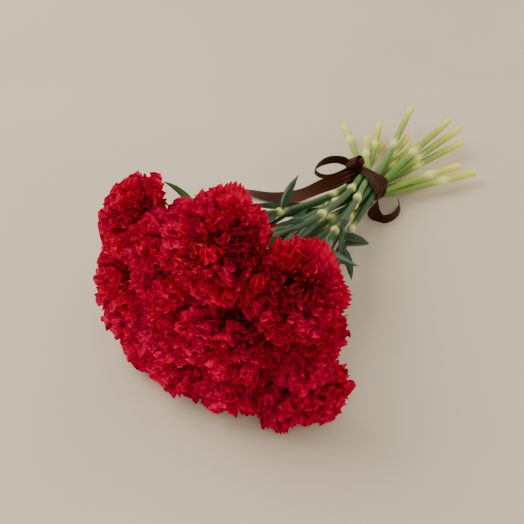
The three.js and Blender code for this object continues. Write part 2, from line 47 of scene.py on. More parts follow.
# Middle of each flower head, its size, its stem's length behind the tie, and its leaves as
# (distance below the calyx, turn round the stem, length, lean at the foot, lean at the tip).
FLOWERS = [
    ((39, -178, 176), 1, 86, [(66, -80, 40, 25, 45)]),
    ((89, -166, 152), 0.9, 74, [(70, 0, 46, 30, 80), (128, 60, 44, 20, 50)]),
    ((90, -157, 96), 0.93, 102, [(120, 25, 46, 60, 45), (84, 150, 38, 20, 40)]),
    ((91, -155, 36), 1.02, 134, [(120, -55, 32, 70, 50), (120, 35, 36, 80, 60)]),
    ((44, -168, 34), 1, 84, [(70, 60, 40, 25, 60)]),
    ((53, -182, 106), 1.02, 138, [(90, 80, 40, 25, 40)]),
    ((-8, -166, 138), 1.02, 110, [(10, 160, 38, 70, 105), (78, 200, 46, 25, 60)]),
    ((-5, -164, 82), 1.03, 136, [(90, 170, 44, 25, 60)]),
    ((-58, -144, 137), 0.9, 96, [(104, 80, 42, 60, 120), (84, 210, 46, 25, 60)]),
    ((-63, -156, 84), 0.97, 106, [(60, 190, 44, 30, 60)]),
    ((-56, -154, 34), 1, 94, [(70, 110, 40, 25, 60)]),
    ((-8, -170, 32), 0.98, 128, [(70, 90, 36, 25, 40)]),
    ((-95, -106, 88), 0.9, 88, [(50, 170, 50, 30, 80)]),
    ((-89, -108, 33), 0.93, 74, [(60, 180, 44, 30, 60)]),
]
ORIGIN = np.array([0.97, 14.68, 0.7])  # under the middle of the bunch, on the table
TIE_POINT = np.array([20.0, 105.0, 28.0])
FAN_POINT = np.array([29.0, -12.0, 58.0])  # the heads face away from this point
PETAL_TUCK = 20  # calyx rim to the middle of the flower
CALYX_LENGTH = 27
STEM_RADIUS = 2.8
STEM_SIDES = 14
STEM_SPACING = 6.9  # least distance between two centre lines
STEP = 22  # between the points that set a centre line
LINE_POINTS = 600  # of a finished centre line
TIE_SPACING = 6.9  # centre to centre of the stems where they are tied
PATTERN_SHARE = 0.1  # size of the heads' pattern at the tie, before the stems are packed
SPIRAL = math.radians(55)  # turn of the stems' pattern on each side of the tie
ROUNDS = 60  # in which the stems push each other apart
EASE = 0.15  # share of a bend that each of the first rounds takes out
TABLE_GAP = 0.5  # under the lowest stem while the petals carry the bunch
TAIL_SPREAD = 0.055  # widening of the tails for each millimetre behind the tie
TAIL_LIFT = 1.2  # their spread upward
TAIL_YAW = math.radians(-3)
JOINTS = (50, 136)  # from the tie toward the heads
JOINT_STAGGER = 9  # so that the joints of neighbouring stems don't meet
JOINT_RADIUS = 4.0
JOINT_LENGTH = 3  # from a joint's middle to where a third of its swelling is left
JOINT_CLEAR = 20  # least distance from a joint to the calyx
TAIL_JOINT = 0.4  # place of the tail's own joint, as a share of the tail
TAIL_JOINT_SHIFT = 0.12  # the same joint's shift on every other stem
RING_STEP = 7  # between the rings of points round a stem
COLOUR_LENGTH = 420  # the stem's greens run over this length from the cut end
PALE_JOINT = 0.82  # how far a joint turns to its paler green
PALE_TAIL_LENGTH = 7  # half length of the pale ring at a joint behind the tie
PALE_HEAD_LENGTH = 5.5  # and at a joint before it
# The cut end's rings, as (depth below the tip, share of the stem's radius): sunk pith, then a rounded edge.
CUT_END = ((0.5, 0.02), (0.5, 0.6), (0.0, 0.9), (0.25, 1.0))
UP = np.array([0.0, 0.0, 1.0])


def unit(v):
    """The direction of a vector."""
    return v / np.linalg.norm(v)


head_axes = [unit(np.array(at, float) - FAN_POINT) for at, *_ in FLOWERS]
head_feet = [np.array(at, float) - PETAL_TUCK * axis for (at, *_), axis in zip(FLOWERS, head_axes)]
calyx_feet = [foot - CALYX_LENGTH * axis for foot, axis in zip(head_feet, head_axes)]

bundle_axis = unit(sum(calyx_feet) / len(FLOWERS) - TIE_POINT)
bundle_side = unit(np.cross(UP, bundle_axis))
bundle_over = np.cross(bundle_axis, bundle_side)
spiral = complex(math.cos(SPIRAL), math.sin(SPIRAL))

# Places in the tied section: the heads' pattern drawn together until the stems lie side by side.
tied = []
for foot in calyx_feet:
    across = foot - TIE_POINT
    tied.append(complex(across @ bundle_side, across @ bundle_over) * PATTERN_SHARE * spiral)
for pull in [0.98] * 300 + [1.0] * 100:  # drawn together, then left to settle
    tied = [p * pull for p in tied]
    for i in range(len(tied)):
        for j in range(i):
            apart = tied[i] - tied[j]
            lack = TIE_SPACING - abs(apart)
            if lack > 0:
                apart *= lack / 2 / abs(apart)
                tied[i] += apart
                tied[j] -= apart


def bent_rod(a, b, c, d):
    """Points along a rod that leaves a toward b and reaches d from c."""
    t = np.linspace(0, 1, 61)[:, None]
    return a * (1 - t) ** 3 + 3 * b * (1 - t) ** 2 * t + 3 * c * (1 - t) * t**2 + d * t**3


# Points of each centre line in equal steps along the bundle, from the cut end to the calyx.
lowest = min((p * spiral).imag for p in tied)
lines = []
for k, (_, _, tail, _) in enumerate(FLOWERS):
    knot = TIE_POINT + bundle_side * tied[k].real + bundle_over * tied[k].imag
    turned = tied[k] * spiral
    flat = complex(turned.real * (1 + TAIL_SPREAD * tail), tail)
    flat *= complex(math.cos(TAIL_YAW), math.sin(TAIL_YAW))
    end = TIE_POINT + np.array([flat.real, flat.imag, 0])
    end[2] = STEM_RADIUS + TABLE_GAP + (turned.imag - lowest) * TAIL_LIFT
    ahead = calyx_feet[k] - knot
    behind = end - knot
    through = unit(unit(ahead) - unit(behind))
    tail_part = bent_rod(end, end - behind / 3, knot - through * np.linalg.norm(behind) / 3, knot)
    reach = np.linalg.norm(ahead)
    head_part = bent_rod(
        knot, knot + through * reach / 3, calyx_feet[k] - head_axes[k] * reach / 4, calyx_feet[k])
    fine = np.vstack([tail_part, head_part])
    distance = (fine - TIE_POINT) @ bundle_axis
    line = [[None, end]]
    for f in range(len(fine) - 1):
        a, b = distance[f], distance[f + 1]
        step = math.ceil(a / STEP)
        clear = step * STEP - distance[0] > STEP / 2 and distance[-1] - step * STEP > STEP / 2
        if step * STEP < b and clear:
            line.append([step, fine[f] + (fine[f + 1] - fine[f]) * (step * STEP - a) / (b - a)])
    line.append([None, calyx_feet[k]])
    lines.append(line)

# The stems push each other apart where they come too close, and are smoothed in the first rounds.
for turn in range(ROUNDS):
    for i in range(len(lines)):
        for j in range(i):
            others = {step: at for step, at in lines[j]}
            for step, at in lines[i]:
                if step and step in others:
                    apart = at - others[step]
                    length = math.sqrt(apart @ apart)
                    lack = STEM_SPACING - length
                    if lack > 0:
                        apart *= lack / 2 / length
                        at += apart
                        others[step] -= apart
    for line in lines:
        for k in range(1, len(line) - 1):
            if line[k][0] == 0:
                continue  # the ribbon holds them here
            off = (line[k - 1][1] + line[k + 1][1]) * 0.5 - line[k][1]
            off -= bundle_axis * (off @ bundle_axis)
            if turn < ROUNDS / 2:
                line[k][1] += off * EASE
            line[k][1][2] = max(line[k][1][2], JOINT_RADIUS + TABLE_GAP)


def curve_through(points, count):
    """Points in equal shares along a smooth line through the given points."""
    points = np.array(points, float)
    ends = np.vstack([2 * points[0] - points[1], points, 2 * points[-1] - points[-2]])
    made = []
    for place in np.linspace(0, len(points) - 1, count):
        k = min(int(place), len(points) - 2)
        w = place - k
        p0, p1, p2, p3 = ends[k:k + 4]
        d0, d1, d2 = (np.linalg.norm(b - a) ** 0.5 for a, b in ((p0, p1), (p1, p2), (p2, p3)))
        d1 = d1 if d1 > 1e-4 else 1.0  # two like points in a row
        d0, d2 = (d if d > 1e-4 else d1 for d in (d0, d2))
        t1 = ((p1 - p0) / d0 - (p2 - p0) / (d0 + d1) + (p2 - p1) / d1) * d1
        t2 = ((p2 - p1) / d1 - (p3 - p1) / (d1 + d2) + (p3 - p2) / d2) * d1
        made.append(p1 + t1 * w + (3 * (p2 - p1) - 2 * t1 - t2) * w**2 + (2 * (p1 - p2) + t1 + t2) * w**3)
    return np.array(made)


def lengths_along(line):
    """Distance of each point of a line from its start."""
    return np.concatenate([[0], np.cumsum(np.linalg.norm(np.diff(line, axis=0), axis=1))])


def at_length(line, lengths, where):
    """Points of a line at the given distances from its start."""
    return np.stack([np.interp(where, lengths, line[:, c]) for c in range(3)], axis=-1)


centre_lines = [curve_through([at for _, at in line], LINE_POINTS) for line in lines]
stem_lengths = [lengths_along(line) for line in centre_lines]


def crossing(k, distance):
    """Length along stem k at which it passes the section at a distance from the tie, toward the heads."""
    past = (centre_lines[k] - TIE_POINT) @ bundle_axis
    return float(np.interp(distance, past, stem_lengths[k]))


def linear(hex_colour):
    """sRGB hex, such as "#C00020", to the linear colour that a socket takes."""
    parts = [int(hex_colour[k:k + 2], 16) / 255 for k in (1, 3, 5)]
    return (*(c / 12.92 if c <= 0.04045 else ((c + 0.055) / 1.055) ** 2.4 for c in parts), 1)


def add(tree, kind, settings=None, links=None, ramp=None):
    """Adds a node with its settings and links; ramp is a list of (place, hex colour or grey)."""
    made = tree.nodes.new("ShaderNode" + kind)
    for name, value in (settings or {}).items():
        if isinstance(name, int) or name in made.inputs:
            made.inputs[name].default_value = value
        else:
            setattr(made, name, value)
    for name, socket in (links or {}).items():
        tree.links.new(socket, made.inputs[name])
    if ramp:
        stops = made.color_ramp.elements
        while len(stops) < len(ramp):
            stops.new(0.5)
        for stop, (place, shade) in zip(stops, ramp):
            stop.position = place
            stop.color = linear(shade) if isinstance(shade, str) else (shade, shade, shade, 1)
    return made


def new_material(name):
    """An empty material and its node tree."""
    made = bpy.data.materials.new(name)
    made.use_nodes = True
    made.node_tree.nodes.clear()
    return made, made.node_tree


def read_marks(tree):
    """The marks at a mesh's points, as a vector and in parts."""
    marks = add(tree, "Attribute", {"attribute_name": "marks"})
    return marks, add(tree, "SeparateXYZ", links={0: marks.outputs["Vector"]})


def fine_lines(tree, parts, waves):
    """A sine wave across the mesh, with its phase at the edge in radians."""
    phase = add(tree, "Math", {"operation": "MULTIPLY", 1: waves}, {0: parts.outputs["X"]})
    return add(tree, "Math", {"operation": "SINE"}, {0: phase.outputs[0]})


def shaded(tree, colour, shade, strength=1.0):
    """A colour multiplied by a shade."""
    made = add(tree, "Mix", {"data_type": "RGBA", "blend_type": "MULTIPLY", 0: strength},
               {6: colour, 7: shade})
    return made.outputs[2]


def grid_faces(rows, columns, closed, first):
    """Faces of a grid of points given row by row; closed joins the last column to the first."""
    faces_across = columns if closed else columns - 1
    row, column = np.meshgrid(np.arange(rows - 1), np.arange(faces_across), indexing="ij")
    a = row * columns + column
    b = row * columns + (column + 1) % columns
    return np.stack([a, b, b + columns, a + columns], axis=-1).reshape(-1, 4) + first


def make_piece(name, grids, material):
    """A smooth mesh piece from grids, each (points in millimetres, marks at them, whether it is closed).
    Its material reads the marks as (across, along, tone)."""
    quads, count = [], 0
    for points, _, closed in grids:
        rows, columns = points.shape[:2]
        quads.append(grid_faces(rows, columns, closed, count))
        count += rows * columns
    quads = np.concatenate(quads).astype(np.int32)
    points = (np.concatenate([points.reshape(-1, 3) for points, _, _ in grids]) - ORIGIN) * 0.001
    marks = np.concatenate([marks.reshape(-1, 3) for _, marks, _ in grids])
    mesh = bpy.data.meshes.new(name)
    mesh.vertices.add(len(points))
    mesh.vertices.foreach_set("co", points.astype(np.float32).ravel())
    mesh.loops.add(quads.size)
    mesh.loops.foreach_set("vertex_index", quads.ravel())
    mesh.polygons.add(len(quads))
    mesh.polygons.foreach_set("loop_start", np.arange(0, quads.size, 4, dtype=np.int32))
    mesh.polygons.foreach_set("loop_total", np.full(len(quads), 4, np.int32))
    mesh.update(calc_edges=True)
    mesh.attributes.new("marks", "FLOAT_VECTOR", "POINT")
    mesh.attributes["marks"].data.foreach_set("vector", marks.astype(np.float32).ravel())
    mesh.polygons.foreach_set("use_smooth", np.ones(len(quads), bool))
    mesh.materials.append(material)
    made = bpy.data.objects.new(name, mesh)
    bpy.context.scene.collection.objects.link(made)
    return made


def rings(path, radii, sides):
    """Rings of points round a path, with a radius for each ring."""
    along = np.gradient(path, axis=0)
    along /= np.linalg.norm(along, axis=1)[:, None]
    side = np.cross(UP, along)
    side /= np.linalg.norm(side, axis=1)[:, None]
    over = np.cross(along, side)
    turn = np.arange(sides) / sides * 2 * math.pi
    reach = np.asarray(radii, float)[:, None]
    return (path[:, None] + side[:, None] * (reach * np.cos(turn))[..., None]
            + over[:, None] * (reach * np.sin(turn))[..., None])


# Fresh stem under a thin wax: pale yellow-green at the cut end and at the joints, and deep green toward the
# heads, darkened there as painted shade under the heads.
# The wax makes a soft broad highlight, and the green shows faint streaks, 1 mm wide and 17 mm long.
stem_green, tree = new_material("waxy_green_stem")
_, parts = read_marks(tree)
# Greens along the stem, from the cut end; their darkest end, by the heads, is painted shade.
stem_green_and_shade = add(tree, "ValToRGB", links={0: parts.outputs["Y"]}, ramp=[
    (0.0, "#F8F070"), (0.03, "#E2DE54"), (0.07, "#B0BE44"), (0.14, "#84A43C"), (0.26, "#5C8636"),
    (0.38, "#2C5424"), (1.0, "#1C3A16")])
place = add(tree, "TexCoord")
stretch = add(tree, "Mapping", {"Scale": (900, 60, 900)}, {"Vector": place.outputs["Object"]})
streak = add(tree, "TexNoise", {"Scale": 1, "Detail": 4, "Roughness": 0.6}, {"Vector": stretch.outputs[0]})
shade = add(tree, "ValToRGB", links={0: streak.outputs["Fac"]}, ramp=[(0.3, 0.62), (0.7, 1.0)])
green = shaded(tree, stem_green_and_shade.outputs[0], shade.outputs[0], 0.6)
pale = add(tree, "Mix", {"data_type": "RGBA", 7: linear("#E6EE86")}, {0: parts.outputs["Z"], 6: green})
bump = add(tree, "Bump", {"Strength": 0.25, "Distance": 0.0003}, {"Height": streak.outputs["Fac"]})
body = add(tree, "BsdfPrincipled", {"Roughness": 0.45, "IOR": 1.42, "Sheen Weight": 0.04},
           {"Base Color": pale.outputs[2], "Normal": bump.outputs[0]})
add(tree, "OutputMaterial", links={"Surface": body.outputs[0]})

for k, (_, _, tail, _) in enumerate(FLOWERS):
    total = stem_lengths[k][-1]
    tie = crossing(k, 0)
    joints = [(TAIL_JOINT + TAIL_JOINT_SHIFT * (k % 2)) * tail]
    joints += [tie + j + JOINT_STAGGER * (k % 4) for j in JOINTS]
    joints = [j for j in joints if j < total - JOINT_CLEAR]
    # Rings from just past the cut to just inside the calyx, with nine more at each joint.
    where = np.unique(np.concatenate(
        [np.arange(1.2, total + 3, RING_STEP)] + [j + np.linspace(-5, 5, 9) for j in joints]))
    path = at_length(centre_lines[k], stem_lengths[k], np.minimum(where, total - 0.001))
    path[where > total] = calyx_feet[k] + head_axes[k] * (where[where > total, None] - total)
    swell = sum(np.exp(-((where - j) / JOINT_LENGTH) ** 2) for j in joints)
    thicker = 1.06 + 0.24 * np.clip(1 - where / tail, 0, 1)  # toward the cut end
    radii = STEM_RADIUS * thicker + (JOINT_RADIUS - STEM_RADIUS) * swell
    tube = rings(path, radii, STEM_SIDES)
    rim = tube[0] - path[0]
    cut = [at_length(centre_lines[k], stem_lengths[k], depth) + rim * share for depth, share in CUT_END]
    points = np.concatenate([np.array(cut), tube])
    height = np.concatenate([[0, 0, 0, 0.002], where / COLOUR_LENGTH])  # the cut end's rings come first
    marks = np.zeros(points.shape)
    marks[..., 0] = np.arange(STEM_SIDES) / STEM_SIDES
    marks[..., 1] = height[:, None]
    pale_lengths = [PALE_TAIL_LENGTH if j < tail else PALE_HEAD_LENGTH for j in joints]
    pale_rings = sum(np.exp(-((where - j) / pale) ** 2) for j, pale in zip(joints, pale_lengths))
    paleness = np.concatenate([[0.3, 0.2, 0, 0], np.minimum(pale_rings, 1) * PALE_JOINT])
    marks[..., 2] = paleness[:, None]
    points[..., 2] = np.maximum(points[..., 2], ORIGIN[2])
    stem = make_piece(f"carnation_stem_{k + 1:02d}", [(points, marks, True)], stem_green)
    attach(stem, "root")
    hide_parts(f"stem_{k + 1:02d}")


# CALYCES
# The petals are held in a green tube of five fused sepals whose points stand up round the rim. Short
# scales overlap at its foot, and the tube swells a little toward the petals.
CALYX_RADIUS = 7.0
CALYX_SIDES = 40
# Rows of the tube, as (share of its length, radius).
CALYX_PROFILE = (
    (0, 2.7), (0.06, 3.2), (0.13, 4.7), (0.25, 5.7), (0.45, 6.1), (0.7, 6.5), (0.9, 6.9), (1.0, 7.1))
SEPAL_POINTS = 5
POINT_HEIGHT = 5.5  # of a sepal's point over the tube
CALYX_RIBS = 10  # low ones, in the mesh
FINE_RIBS = 25  # between them, in the material
SCALES = 4  # round the foot
SCALE_GRID = 7  # points along a scale, and across it
SCALE_LIFT = 0.35  # of a scale from the tube

# Sepal: a firm grey-green skin, paler at the points, which dry to straw at the very tip. Its fine ribs are
# lines of shade that run up the tube to the points.
sepal_green, tree = new_material("ribbed_green_sepal")
_, parts = read_marks(tree)
height = add(tree, "ValToRGB", links={0: parts.outputs["Y"]}, ramp=[
    (0.0, "#A9B876"), (0.12, "#6F9458"), (0.6, "#557F4E"), (0.86, "#7E9F5E"), (1.0, "#B9A06A")])
ribs = fine_lines(tree, parts, 2 * math.pi * FINE_RIBS)
shade = add(tree, "MapRange", {"From Min": -1, "To Min": 0.8, "To Max": 1.05}, {"Value": ribs.outputs[0]})
green = shaded(tree, height.outputs[0], shade.outputs[0])
bump = add(tree, "Bump", {"Strength": 0.3, "Distance": 0.0003}, {"Height": ribs.outputs[0]})
body = add(tree, "BsdfPrincipled", {"Roughness": 0.5, "IOR": 1.42, "Sheen Weight": 0.15},
           {"Base Color": green, "Normal": bump.outputs[0]})
add(tree, "OutputMaterial", links={"Surface": body.outputs[0]})


def head_frame(k):
    """Directions across, over and along a head's axis."""
    side = unit(np.cross(UP, head_axes[k]))
    return side, np.cross(head_axes[k], side), head_axes[k]


tube_heights, tube_radii = np.array(CALYX_PROFILE).T
for k in range(len(FLOWERS)):
    side, over, axis = head_frame(k)
    turn = np.arange(CALYX_SIDES) / CALYX_SIDES * 2 * math.pi
    tooth = (turn / (2 * math.pi) * SEPAL_POINTS + 0.13 * k) % 1
    tooth = np.abs(tooth * 2 - 1)  # 1 at a point, 0 between
    reach = tube_radii[:, None] * np.ones(CALYX_SIDES)
    up = tube_heights[:, None] * CALYX_LENGTH * np.ones(CALYX_SIDES)
    for rise in (0.35, 0.7, 1.0):  # the rows that climb the points
        up = np.vstack([up, CALYX_LENGTH * 0.97 + rise * POINT_HEIGHT * tooth**1.3])
        reach = np.vstack([reach, CALYX_RADIUS + 0.15 + 0.5 * rise * tooth])
    ribbed = 1 + 0.012 * np.cos(turn * CALYX_RIBS)
    points = (calyx_feet[k] + side * (reach * ribbed * np.cos(turn))[..., None]
              + over * (reach * ribbed * np.sin(turn))[..., None] + axis * up[..., None])
    marks = np.zeros(points.shape)
    marks[..., 0] = turn / (2 * math.pi)
    marks[..., 1] = np.clip(up / (CALYX_LENGTH + POINT_HEIGHT), 0, 1)
    grids = [(points, marks, True)]
    # Each scale is rounded at its tip, which leaves the tube a little, and its sides hug the tube.
    for scale in range(SCALES):
        middle = scale * math.pi / 2 + 0.5 * k
        s, t = np.meshgrid(np.linspace(0, 1, SCALE_GRID), np.linspace(-1, 1, SCALE_GRID), indexing="ij")
        width = 0.85 * np.sqrt(np.clip(1 - s**2.2, 0, 1)) + 0.01
        round_turn = middle + t * width
        foot_up = 0.02 + 0.32 * s - 0.04 * (scale % 2)
        r = np.interp(foot_up, tube_heights, tube_radii) + SCALE_LIFT
        r = r + 0.6 * s**3 - 0.25 * t**2
        scale_points = (calyx_feet[k] + side * (r * np.cos(round_turn))[..., None]
                        + over * (r * np.sin(round_turn))[..., None]
                        + axis * (foot_up * CALYX_LENGTH)[..., None])
        scale_marks = np.stack([round_turn / (2 * math.pi), 0.1 + 0.75 * s, s], axis=-1)
        grids.append((scale_points, scale_marks, False))
    calyx = make_piece(f"calyx_{k + 1:02d}", grids, sepal_green)
    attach(calyx, "root")


# LEAVES
# Narrow, keeled leaves grow from the joints, most of them trimmed off by the florist. They are folded along
# the midrib, bend back toward the tip and carry the same wax as the stems, so they look blue-green.
LEAF_WIDTH = 8.6
LEAF_ROWS = 18
LEAF_COLUMNS = 9
LEAF_OUTLINE = (0.32, 0.85, 1, 0.7, 0.03)  # shares of its width at equal steps from foot to tip
LEAF_VEINS = 34  # phase of their wave at a margin, which makes eleven across a leaf
TUCKED_LEAVES = 3  # soft ones that lie along each stem and close the gaps below the heads
TUCKED_LENGTH = 54
LEAF_KEEL = 0.42  # rise of a leaf's margins over its midrib, as a share of half its width
MORE_LEAVES = {8: [(8, 140, 46, 80, 30)]}  # one stands behind the upper left flower
HIGH_LEAF = 20  # a leaf that grows nearer to the calyx than this is young and bright

# Leaf: the stem's wax over a bluer green, paler at the foot where it clasps the joint. Its veins run
# lengthwise, a little darker than the rest, and its broad highlight breaks at the keel.
leaf_green, tree = new_material("waxy_keeled_leaf")
_, parts = read_marks(tree)
along = add(tree, "ValToRGB", links={0: parts.outputs["Y"]}, ramp=[
    (0.0, "#7F9A58"), (0.15, "#3A5E3C"), (0.8, "#2A4A30"), (1.0, "#4A6238")])
veins = fine_lines(tree, parts, LEAF_VEINS)
shade = add(tree, "MapRange", {"From Min": -1, "To Min": 0.85, "To Max": 1.0}, {"Value": veins.outputs[0]})
green = shaded(tree, along.outputs[0], shade.outputs[0])
bright = add(tree, "Mix", {"data_type": "RGBA", 7: linear("#5E9440")}, {0: parts.outputs["Z"], 6: green})
bump = add(tree, "Bump", {"Strength": 0.2, "Distance": 0.0002}, {"Height": veins.outputs[0]})
body = add(tree, "BsdfPrincipled", {"Roughness": 0.4, "IOR": 1.42, "Sheen Weight": 0.15},
           {"Base Color": bright.outputs[2], "Normal": bump.outputs[0]})
add(tree, "OutputMaterial", links={"Surface": body.outputs[0]})

for k, (_, _, _, leaf_rows) in enumerate(FLOWERS):
    grids = []
    total = stem_lengths[k][-1]
    tucked = [(84 + 22 * n + 5 * (k * 3 % 5), 47 * k + 140 * n, TUCKED_LENGTH, 10, 12 + 6 * (k % 3))
              for n in range(TUCKED_LEAVES)]
    for below, turn, length, foot_lean, tip_lean in leaf_rows + tucked + MORE_LEAVES.get(k, []):
        pair = at_length(centre_lines[k], stem_lengths[k], total - below + np.array([-0.5, 0, 0.5]))
        along = unit(pair[2] - pair[0])
        side = unit(np.cross(UP, along))
        out = side * math.cos(math.radians(turn)) + np.cross(along, side) * math.sin(math.radians(turn))
        across = np.cross(along, out)
        share = np.linspace(0, 1, LEAF_ROWS)
        lean = np.radians(foot_lean + (tip_lean - foot_lean) * share)
        ahead = along * np.cos(lean)[:, None] + out * np.sin(lean)[:, None]
        crest = out * np.cos(lean)[:, None] - along * np.sin(lean)[:, None]
        spine = pair[1] + np.vstack([np.zeros(3), np.cumsum(ahead[:-1], axis=0) * length / (LEAF_ROWS - 1)])
        half = LEAF_WIDTH / 2 * np.interp(share, np.linspace(0, 1, len(LEAF_OUTLINE)), LEAF_OUTLINE)
        t = np.linspace(-1, 1, LEAF_COLUMNS)
        fold = LEAF_KEEL * np.abs(t) - 0.1 * np.cos(4 * t)
        points = (spine[:, None] + across * (half[:, None] * t)[..., None]
                  + crest[:, None] * (half[:, None] * fold)[..., None])
        points[..., 2] = np.maximum(points[..., 2], ORIGIN[2] + 1)
        marks = np.zeros(points.shape)
        marks[..., 0] = t
        marks[..., 1] = share[:, None]
        marks[..., 2] = 0.5 if below < HIGH_LEAF else 0.0
        grids.append((points, marks, False))
    leaves = make_piece(f"leaves_{k + 1:02d}", grids, leaf_green)
    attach(leaves, "root")


# FLOWER HEADS
# A double carnation is a ball of fan-shaped petals on narrow claws, their margins cut in small teeth and so
# long that they ruffle. The outer ones, the guard petals, spread flat and the inner ones stay crumpled. The
# 76 here are narrower than the fifty or so of a real head, and fold less.
PETAL_COUNT = 76
PETAL_REACH = 51  # calyx rim to petal margin along the petal
PETAL_WIDTH = 33  # across the blade of an outer petal
PETAL_ROWS = 10
PETAL_COLUMNS = 39
PETAL_CUP = 0.22  # rise of a petal's sides, as a share of its half width
PETAL_TURN = math.radians(137.5)  # from one petal to the next, which never line up
GUARD_SHARE = 0.2  # of the petals, counted from the outermost
GUARD_FADE = 0.12  # share of the petals over which they change to the inner kind
RIM_DISTANCE = 60  # a head this far from the bunch's middle has petals that stand free
FARTHEST = 1.12  # of any petal's tip, as a share of the reach
CRIMPS = 8.5  # the finest ruffles, in half waves from the middle of a margin to its side
CRIMP_HEIGHT = 1.3
TOOTH = (-1, 0.1, 1, 0.1)  # the margin's teeth, one every four points
TOOTH_LENGTH = 0.03  # as a share of the petal
# Tones for painted light: a petal that stands clear is painted darker against the full light it catches,
# and one here and there is painted bright, as a glow of light coming through it.
FULL_LIGHT = 1.0  # tone of a petal that stands clear
SINGLE_PAINTED_GLOW = 0.9  # tone of a petal here and there
SINGLE_DRAW = 0.88  # it is one whose draw, from -1 to 1, is over this
CLEARANCE = 0.35  # between two pieces that touch
PETAL_HALF_THICK = 0.2
PRESS_DEPTH = 5  # petals give way within this distance of a neighbour
INTERLEAVE = 1.8  # petals of neighbours reach between each other
TABLE_PRESS = 3  # and they give way within this distance of the table
PRESS_RISE = 1.5  # petals pushed aside rise this share of the push
PRESS_ROUNDS = 5
CELL_LIFT = 10  # from the middle of a head to the point that its room is measured from
STEM_START = 240  # of a centre line's points; those before it are far from every head
LOLL = {1: (1, -2, -4), 8: (-5, -3, 0)}  # two heads hang a little to one side on their calyces
# Guard petals that stand clear of the rest, as (degrees round the head, reach), by flower.
FANS = {0: [(97, 48), (60, 41)], 1: [(68, 46), (2, 42)], 3: [(8, 45)]}
cell_points = [np.array(at, float) + CELL_LIFT * axis for (at, *_), axis in zip(FLOWERS, head_axes)]
bunch_middle = np.mean(cell_points, axis=0)


def beside_stem(me, k):
    """The plane that keeps a head's petals off the stem and calyx of flower k, on the side of point me."""
    foot, axis = calyx_feet[k], head_axes[k]
    nearest = foot + axis * min(max((me - foot) @ axis, 0), CALYX_LENGTH)
    keep = CALYX_RADIUS + 0.9
    path = centre_lines[k][STEM_START:]
    gap = np.linalg.norm(path - me, axis=1)
    if gap.min() < np.linalg.norm(nearest - me):
        nearest = path[gap.argmin()]
        keep = JOINT_RADIUS
    normal = unit(me - nearest)
    return normal, nearest + normal * (keep + CLEARANCE / 2), PRESS_DEPTH, 0


def cell_of(index):
    """Where a head has room: half-way planes to its neighbours, planes beside their stems, and the table.
    A plane is its normal, a point on it, the depth in which petals give way, and how far they rise."""
    me = cell_points[index]
    planes = [(UP, np.zeros(3), TABLE_PRESS, 0)]
    for k, other in enumerate(cell_points):
        if k != index:
            normal = unit(me - other)
            planes.append((normal, (me + other) / 2 - normal * INTERLEAVE, PRESS_DEPTH, PRESS_RISE))
            planes.append(beside_stem(me, k))
    return planes


def pressed(points, planes, axis, inset):
    """Moves points back into the cell, softly near a plane, as petals crumple against their neighbours
    and rise between them."""
    p = points.copy()
    for turn in range(PRESS_ROUNDS):
        for normal, at, depth, rise in planes:
            d = (p - at) @ normal - inset
            if turn == 0:
                soft = depth * np.exp((d - depth) / depth) - d
                p += (normal + axis * rise) * np.where(d < depth, soft, 0)[:, None]
            else:
                p += normal * np.where(d < 0.02, 0.02 - d, 0)[:, None]
    return p


# Petal: a thin skin of tiny raised cells, velvety and without gloss, wine-red down by the claw and scarlet
# on the open blade; that darkening toward the claw is painted shade deep in the head, and the brighter
# blade painted light where it opens. Soft creases about 5 mm apart are painted in as shade, with a little
# painted light between them, and faint veins run from claw to teeth. The guard petals and one here and
# there are painted brighter as a glow of light through them, and petals that stand clear are painted darker
# against the full light they catch. The cells are too small to show and are left to the roughness.
CREASES_PER_METRE = 210
petal_red, tree = new_material("velvety_red_petal")
marks, parts = read_marks(tree)
# Painted shade along the petal: darkest at the claw deep in the head, lightest at the margin in the light.
depth = add(tree, "ValToRGB", links={0: parts.outputs["Y"]}, ramp=[
    (0.0, "#2C0018"), (0.45, "#660034"), (0.72, "#AE004A"), (0.9, "#DE004C"), (1.0, "#EC0048")])
place = add(tree, "TexCoord")
crease = add(tree, "TexNoise", {"Scale": CREASES_PER_METRE, "Detail": 1.5, "Roughness": 0.5},
             {"Vector": place.outputs["Object"]})
veins = add(tree, "Mapping", {"Scale": (26, 2.2, 9)}, {"Vector": marks.outputs["Vector"]})
veins = add(tree, "TexNoise", {"Scale": 1, "Detail": 3, "Roughness": 0.55}, {"Vector": veins.outputs[0]})
# Painted shade in the creases, with a little painted light between them.
shade = add(tree, "MapRange", {"From Min": 0.36, "From Max": 0.6, "To Min": 0.36, "To Max": 1.14},
            {"Value": crease.outputs["Fac"]})
red = shaded(tree, depth.outputs[0], shade.outputs[0])
# Each petal's tone: random, lifted on guard petals as painted glow, and darker on petals standing in full
# light.
tone = add(tree, "ValToRGB", links={0: parts.outputs["Z"]}, ramp=[
    (0.0, "#98003C"), (0.45, "#D00046"), (0.75, "#EC0040"), (0.9, "#E8003E"), (1.0, "#B4002C")])
share = add(tree, "MapRange", {"From Min": 0.7, "From Max": 1.0, "To Min": 0.5, "To Max": 0.8},
            {"Value": parts.outputs["Z"]})
red = add(tree, "Mix", {"data_type": "RGBA"}, {0: share.outputs[0], 6: red, 7: tone.outputs[0]})
streak = add(tree, "MapRange", {"From Min": 0.35, "From Max": 0.65, "To Min": 0.86, "To Max": 1.06},
             {"Value": veins.outputs["Fac"]})
red = shaded(tree, red.outputs[2], streak.outputs[0])
bump = add(tree, "Bump", {"Strength": 0.35, "Distance": 0.0004}, {"Height": veins.outputs["Fac"]})
bump = add(tree, "Bump", {"Strength": 0.85, "Distance": 0.0022}, {
    "Height": crease.outputs["Fac"], "Normal": bump.outputs[0]})
